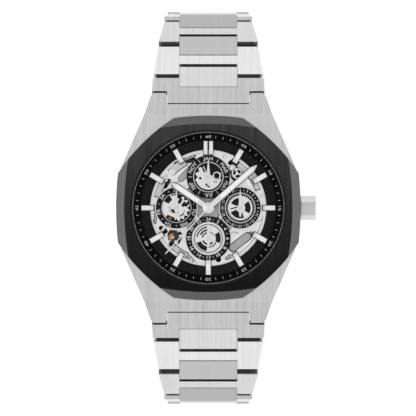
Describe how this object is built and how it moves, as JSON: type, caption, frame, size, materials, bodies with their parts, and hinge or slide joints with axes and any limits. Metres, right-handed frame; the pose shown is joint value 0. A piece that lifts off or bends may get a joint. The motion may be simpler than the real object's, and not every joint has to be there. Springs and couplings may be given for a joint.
{
  "type": "skeleton wristwatch",
  "caption": "Round openworked mechanical wristwatch with an eight-sided bezel, calendar and 24 h subdials, hexagonal crown and a folding-clasp link bracelet.",
  "frame": {"origin": "centre of the caseback glass's outer face", "axes": "+Z out of the dial, +Y towards 12 o'clock along the bracelet, +X towards the crown at 3 o'clock"},
  "size_m": [0.0458, 0.0932, 0.0479],
  "materials": {
    "brushed_steel": "brushed lengthwise, polished edges",
    "polished_steel": "polished",
    "silver_movement": "fine vertical brushing with bevelled edges",
    "black_bezel": "black coated steel, brushed top, satin facets",
    "black_dial": "satin black with printed scales",
    "brass_gear": "pale plated brass, circular grain",
    "sapphire": "clear coated sapphire",
    "rubber": "matte"
  },
  "bodies": {
    "case": {"case_middle": "brushed_steel", "bezel": "black_bezel", "crystal": "sapphire", "chapter_ring": "black_dial", "dial_ring": "black_dial", "caseback_ring": "brushed_steel", "caseback_glass": "sapphire", "crown_tube": "brushed_steel", "main_plate": "silver_movement", "train_bridge": "silver_movement", "balance_cock": "silver_movement", "movement_ring": "silver_movement", "month_ring": "black_dial", "day_ring": "black_dial", "date_ring": "black_dial", "hour24_ring": "black_dial", "hairspring": "polished_steel", "end_link_12": "brushed_steel", "end_link_6": "brushed_steel"},
    "crown_seal": {"crown_seal": "rubber"},
    "crown": {"crown": "brushed_steel", "winding_stem": "polished_steel"},
    "minute_hand": {"minute_hand": "polished_steel"},
    "hour_hand": {"hour_hand": "polished_steel"},
    "hour24_hand": {"hour24_hand": "polished_steel", "hour24_wheel": "brass_gear"},
    "month_hand": {"month_hand": "polished_steel", "month_star": "brass_gear"},
    "day_hand": {"day_hand": "polished_steel", "day_star": "brass_gear"},
    "date_hand": {"date_hand": "polished_steel", "date_wheel": "brass_gear"},
    "fourth_wheel": {"fourth_wheel": "brass_gear", "seconds_hand": "polished_steel"},
    "third_wheel": {"third_wheel": "brass_gear"},
    "centre_wheel": {"centre_wheel": "brass_gear"},
    "barrel": {"barrel": "brass_gear"},
    "escape_wheel": {"escape_wheel": "brass_gear"},
    "pallet_fork": {"pallet_fork": "polished_steel"},
    "balance_wheel": {"balance_wheel": "brass_gear"},
    "rotor": {"rotor": "silver_movement"},
    "clasp_inner_blade": {"clasp_inner_blade": "brushed_steel"},
    "clasp_outer_blade": {"clasp_outer_blade": "brushed_steel"},
    "clasp_cover": {"clasp_cover": "brushed_steel"},
    "clasp_button_right": {"clasp_button_right": "polished_steel"},
    "clasp_button_left": {"clasp_button_left": "polished_steel"},
    "link_12_1": {"link_12_1": "brushed_steel"},
    "link_12_2": {"link_12_2": "brushed_steel"},
    "link_12_3": {"link_12_3": "brushed_steel"},
    "link_12_4": {"link_12_4": "brushed_steel"},
    "link_12_5": {"link_12_5": "brushed_steel"},
    "link_12_6": {"link_12_6": "brushed_steel"},
    "link_12_7": {"link_12_7": "brushed_steel"},
    "link_6_1": {"link_6_1": "brushed_steel"},
    "link_6_2": {"link_6_2": "brushed_steel"},
    "link_6_3": {"link_6_3": "brushed_steel"},
    "link_6_4": {"link_6_4": "brushed_steel"},
    "link_6_5": {"link_6_5": "brushed_steel"},
    "link_6_6": {"link_6_6": "brushed_steel"},
    "link_6_7": {"link_6_7": "brushed_steel"}
  },
  "joints": [
    {"name": "crown_pull", "type": "slide", "parent": "case", "child": "crown_seal", "axis": [1, 0, 0], "range_m": [0, 0.0012]},
    {"name": "crown_turn", "type": "hinge", "parent": "crown_seal", "child": "crown", "pos_m": [0, 0, 0.0046], "axis": [1, 0, 0], "continuous": true},
    {"name": "minute_turn", "type": "hinge", "parent": "case", "child": "minute_hand", "pos_m": [0, 0, 0.0084], "axis": [0, 0, -1], "continuous": true},
    {"name": "hour_turn", "type": "hinge", "parent": "case", "child": "hour_hand", "pos_m": [0, 0, 0.008], "axis": [0, 0, -1], "continuous": true},
    {"name": "hour24_turn", "type": "hinge", "parent": "case", "child": "hour24_hand", "pos_m": [0, -0.007, 0.0074], "axis": [0, 0, -1], "continuous": true},
    {"name": "month_turn", "type": "hinge", "parent": "case", "child": "month_hand", "pos_m": [0, 0.00708, 0.0074], "axis": [0, 0, -1], "continuous": true},
    {"name": "day_turn", "type": "hinge", "parent": "case", "child": "day_hand", "pos_m": [-0.0073, 0, 0.0074], "axis": [0, 0, -1], "continuous": true},
    {"name": "date_turn", "type": "hinge", "parent": "case", "child": "date_hand", "pos_m": [0.0073, 0, 0.0074], "axis": [0, 0, -1], "continuous": true},
    {"name": "fourth_turn", "type": "hinge", "parent": "case", "child": "fourth_wheel", "pos_m": [0, 0, 0.004], "axis": [0, 0, -1], "continuous": true},
    {"name": "third_turn", "type": "hinge", "parent": "case", "child": "third_wheel", "pos_m": [0.00427, -0.00247, 0.0044], "axis": [0, 0, -1], "continuous": true},
    {"name": "centre_turn", "type": "hinge", "parent": "case", "child": "centre_wheel", "pos_m": [0, 0, 0.0048], "axis": [0, 0, -1], "continuous": true},
    {"name": "barrel_turn", "type": "hinge", "parent": "case", "child": "barrel", "pos_m": [-0.00385, 0.0055, 0.0054], "axis": [0, 0, -1], "continuous": true},
    {"name": "escape_turn", "type": "hinge", "parent": "case", "child": "escape_wheel", "pos_m": [-0.00379, -0.00296, 0.0044], "axis": [0, 0, -1], "continuous": true},
    {"name": "pallet_rock", "type": "hinge", "parent": "case", "child": "pallet_fork", "pos_m": [-0.0059, -0.0046, 0.0044], "axis": [0, 0, -1], "range_deg": [-5, 5]},
    {"name": "balance_swing", "type": "hinge", "parent": "case", "child": "balance_wheel", "pos_m": [-0.00828, -0.00647, 0.0049], "axis": [0, 0, -1], "range_deg": [-150, 150]},
    {"name": "rotor_turn", "type": "hinge", "parent": "case", "child": "rotor", "pos_m": [0, 0, 0.002], "axis": [0, 0, -1], "continuous": true},
    {"name": "link_12_1_fold", "type": "hinge", "parent": "case", "child": "link_12_1", "pos_m": [0, 0.03108, 0.00305], "axis": [1, 0, 0], "range_deg": [0, 7]},
    {"name": "link_12_2_fold", "type": "hinge", "parent": "link_12_1", "child": "link_12_2", "pos_m": [0, 0.0383, -0.00063], "axis": [1, 0, 0], "range_deg": [0, 20]},
    {"name": "link_12_3_fold", "type": "hinge", "parent": "link_12_2", "child": "link_12_3", "pos_m": [0, 0.04382, -0.00655], "axis": [1, 0, 0], "range_deg": [0, 33]},
    {"name": "link_12_4_fold", "type": "hinge", "parent": "link_12_3", "child": "link_12_4", "pos_m": [0, 0.04523, -0.01453], "axis": [1, 0, 0], "range_deg": [0, 24]},
    {"name": "link_12_5_fold", "type": "hinge", "parent": "link_12_4", "child": "link_12_5", "pos_m": [0, 0.04327, -0.02239], "axis": [1, 0, 0], "range_deg": [0, 23]},
    {"name": "link_12_6_fold", "type": "hinge", "parent": "link_12_5", "child": "link_12_6", "pos_m": [0, 0.03839, -0.02886], "axis": [1, 0, 0], "range_deg": [0, 22]},
    {"name": "link_12_7_fold", "type": "hinge", "parent": "link_12_6", "child": "link_12_7", "pos_m": [0, 0.03145, -0.03303], "axis": [1, 0, 0], "range_deg": [0, 21]},
    {"name": "link_6_1_fold", "type": "hinge", "parent": "case", "child": "link_6_1", "pos_m": [0, -0.03108, 0.00305], "axis": [-1, 0, 0], "range_deg": [0, 7]},
    {"name": "link_6_2_fold", "type": "hinge", "parent": "link_6_1", "child": "link_6_2", "pos_m": [0, -0.0383, -0.00063], "axis": [-1, 0, 0], "range_deg": [0, 20]},
    {"name": "link_6_3_fold", "type": "hinge", "parent": "link_6_2", "child": "link_6_3", "pos_m": [0, -0.04382, -0.00655], "axis": [-1, 0, 0], "range_deg": [0, 33]},
    {"name": "link_6_4_fold", "type": "hinge", "parent": "link_6_3", "child": "link_6_4", "pos_m": [0, -0.04523, -0.01453], "axis": [-1, 0, 0], "range_deg": [0, 24]},
    {"name": "link_6_5_fold", "type": "hinge", "parent": "link_6_4", "child": "link_6_5", "pos_m": [0, -0.04327, -0.02239], "axis": [-1, 0, 0], "range_deg": [0, 23]},
    {"name": "link_6_6_fold", "type": "hinge", "parent": "link_6_5", "child": "link_6_6", "pos_m": [0, -0.03839, -0.02886], "axis": [-1, 0, 0], "range_deg": [0, 22]},
    {"name": "link_6_7_fold", "type": "hinge", "parent": "link_6_6", "child": "link_6_7", "pos_m": [0, -0.03145, -0.03303], "axis": [-1, 0, 0], "range_deg": [0, 21]},
    {"name": "inner_blade_fold", "type": "hinge", "parent": "link_12_7", "child": "clasp_inner_blade", "pos_m": [0, 0.02347, -0.03443], "axis": [1, 0, 0], "range_deg": [0, 10]},
    {"name": "outer_blade_fold", "type": "hinge", "parent": "clasp_inner_blade", "child": "clasp_outer_blade", "pos_m": [0, -0.0175, -0.03493], "axis": [-1, 0, 0], "range_deg": [0, 55]},
    {"name": "cover_open", "type": "hinge", "parent": "clasp_outer_blade", "child": "clasp_cover", "pos_m": [0, 0.0175, -0.0354], "axis": [1, 0, 0], "range_deg": [0, 110]},
    {"name": "button_right_press", "type": "slide", "parent": "clasp_cover", "child": "clasp_button_right", "axis": [-1, 0, 0], "range_m": [0, 0.0004], "stiffness_N_per_m": 400},
    {"name": "button_left_press", "type": "slide", "parent": "clasp_cover", "child": "clasp_button_left", "axis": [1, 0, 0], "range_m": [0, 0.0004], "stiffness_N_per_m": 400}
  ],
  "couplings": [
    {"joint": "hour_turn", "follows": "minute_turn", "ratio": 0.083333},
    {"joint": "hour24_turn", "follows": "minute_turn", "ratio": 0.041667},
    {"joint": "third_turn", "follows": "fourth_turn", "ratio": -0.125},
    {"joint": "centre_turn", "follows": "fourth_turn", "ratio": 0.016667},
    {"joint": "barrel_turn", "follows": "fourth_turn", "ratio": -0.0027778},
    {"joint": "escape_turn", "follows": "fourth_turn", "ratio": -10},
    {"joint": "outer_blade_fold", "follows": "cover_open", "ratio": 0.5}
  ]
}
